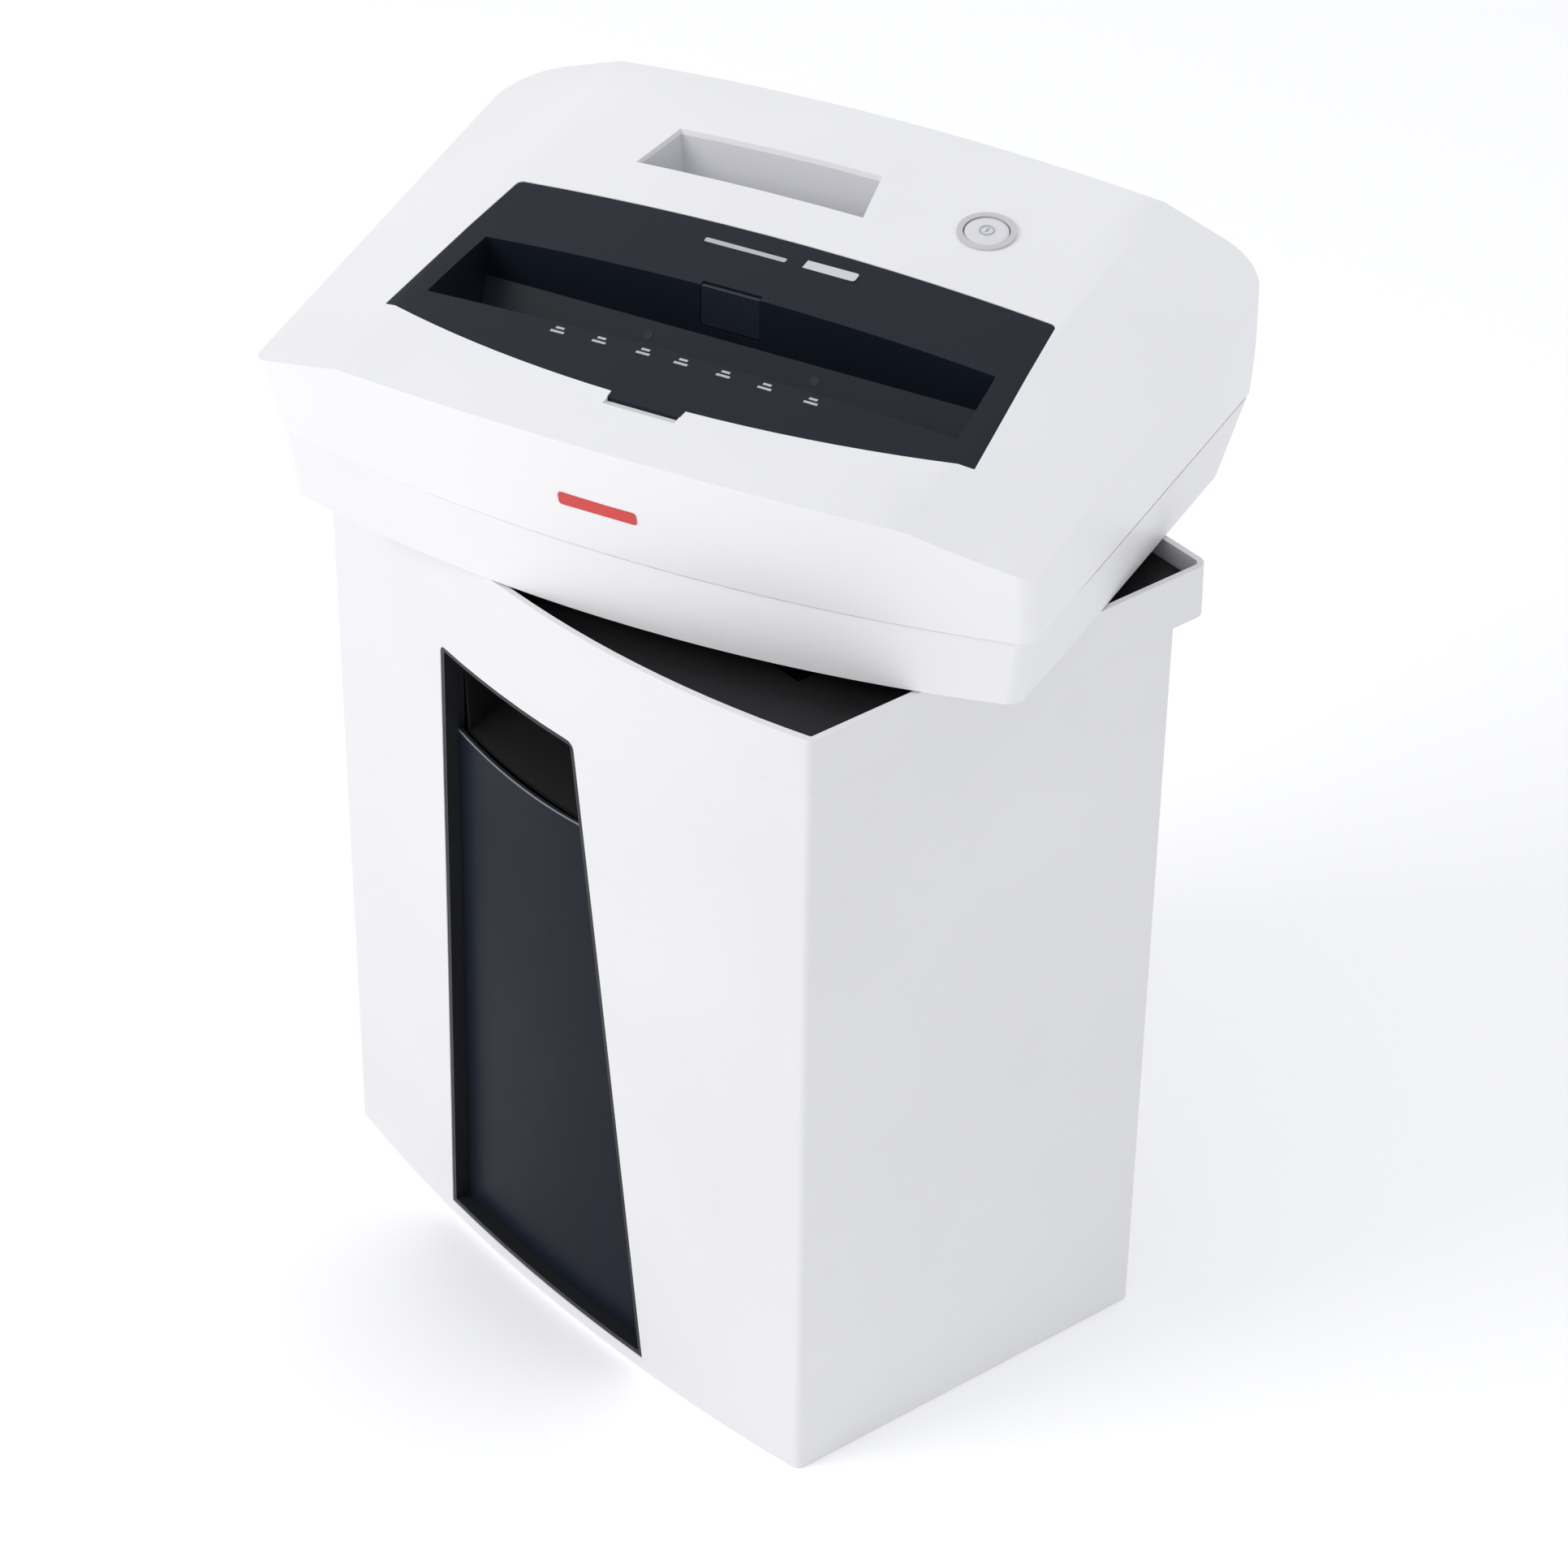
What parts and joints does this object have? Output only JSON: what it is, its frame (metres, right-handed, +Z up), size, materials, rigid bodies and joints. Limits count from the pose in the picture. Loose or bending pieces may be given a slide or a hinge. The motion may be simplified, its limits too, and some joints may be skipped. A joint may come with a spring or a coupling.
{
  "type": "paper shredder",
  "caption": "Desk-side paper shredder: a tapered waste bin with a smoked window, and a cutting head that stands turned on it and lifts off.",
  "frame": {"origin": "on the floor under the middle of the bin's rim, in the plane of the bin's underside", "axes": "+Z up, -Y towards the bin's front with the window, +X to the right seen from the front; the head stands turned 23.4 degrees counter-clockwise, seen from above"},
  "size_m": [0.4132, 0.3485, 0.5075],
  "materials": {
    "bin_white": "fine satin moulding",
    "cover_white": "fine satin moulding",
    "panel_black": "fine spark-eroded grain",
    "lining_black": "fine grain",
    "pane_smoke": "smooth, smoked",
    "pad_grey": "smooth",
    "cup_grey": "satin",
    "ring_grey": "satin",
    "button_white": "satin",
    "lens_clear": "polished",
    "plate_steel": "zinc plated",
    "cutter_steel": "hardened and ground, oiled",
    "bright_steel": "turned",
    "bronze": "sintered",
    "gear_nylon": "moulded",
    "pinion_brass": "cut",
    "motor_steel": "drawn can, zinc plated",
    "fan_black": "moulded",
    "board_green": "solder mask",
    "component_dark": "moulded",
    "gland_rubber": "matt"
  },
  "bodies": {
    "bin": {"bin_shell": "bin_white", "bin_collar": "bin_white", "window_surround": "lining_black", "window_pane": "pane_smoke", "hand_pocket": "lining_black"},
    "support": {"support_frame": "lining_black", "glide_pads": "pad_grey"},
    "head": {"top_cover": "cover_white", "base_tray": "cover_white", "intake_panel": "panel_black", "flap_pin": "bright_steel", "flap_spring": "bright_steel", "sensor_windows": "lens_clear", "grip_cup": "cup_grey", "button_bezel": "ring_grey", "power_switch": "component_dark", "side_plate_left": "plate_steel", "side_plate_right": "plate_steel", "tie_rods": "bright_steel", "tie_rod_screws": "bright_steel", "roller_bearings": "bronze", "front_stripper": "fan_black", "rear_stripper": "fan_black", "idler_pin": "bright_steel", "motor_can": "motor_steel", "motor_screws": "bright_steel", "control_board": "board_green", "board_standoffs": "cup_grey", "capacitor": "component_dark", "relay": "component_dark", "cord_gland": "gland_rubber", "cover_screws": "bright_steel"},
    "safety_flap": {"safety_flap": "panel_black"},
    "power_button": {"power_button": "button_white"},
    "front_cutter": {"front_roller": "cutter_steel", "front_roller_gear": "bright_steel"},
    "rear_cutter": {"rear_roller": "cutter_steel", "rear_roller_gear": "bright_steel", "drive_gear": "gear_nylon"},
    "idler": {"idler_gear": "gear_nylon"},
    "motor_rotor": {"motor_shaft": "bright_steel", "motor_pinion": "pinion_brass", "cooling_fan": "fan_black"}
  },
  "joints": [
    {"name": "head_lift", "type": "slide", "parent": "bin", "child": "support", "axis": [0, 0, 1], "range_m": [0, 0.2]},
    {"name": "head_swivel", "type": "hinge", "parent": "support", "child": "head", "pos_m": [0, 0.0078, 0.3868], "axis": [0, 0, 1], "range_deg": [-23.4, 0]},
    {"name": "flap_hinge", "type": "hinge", "parent": "head", "child": "safety_flap", "pos_m": [0.00825, -0.01881, 0.48163], "axis": [0.9178, 0.3971, 0], "range_deg": [0, 20], "stiffness_Nm_per_rad": 0.004, "springref_deg": -5.73},
    {"name": "button_press", "type": "slide", "parent": "head", "child": "power_button", "axis": [-0.0993, 0.0896, -0.991], "range_m": [0, 0.0015], "stiffness_N_per_m": 700, "springref_m": -0.0005},
    {"name": "rear_roller_spin", "type": "hinge", "parent": "head", "child": "rear_cutter", "pos_m": [0.01398, -0.0245, 0.42978], "axis": [0.9178, 0.3971, 0], "continuous": true},
    {"name": "front_roller_spin", "type": "hinge", "parent": "head", "child": "front_cutter", "pos_m": [0.02709, -0.05479, 0.42978], "axis": [0.9178, 0.3971, 0], "continuous": true},
    {"name": "idler_spin", "type": "hinge", "parent": "head", "child": "idler", "pos_m": [-0.00362, 0.01617, 0.43759], "axis": [0.9178, 0.3971, 0], "continuous": true},
    {"name": "motor_spin", "type": "hinge", "parent": "head", "child": "motor_rotor", "pos_m": [-0.01256, 0.03683, 0.42459], "axis": [0.9178, 0.3971, 0], "continuous": true}
  ],
  "couplings": [
    {"joint": "front_roller_spin", "follows": "rear_roller_spin", "ratio": -1},
    {"joint": "idler_spin", "follows": "rear_roller_spin", "ratio": -2.75},
    {"joint": "motor_spin", "follows": "rear_roller_spin", "ratio": 9.1667}
  ]
}
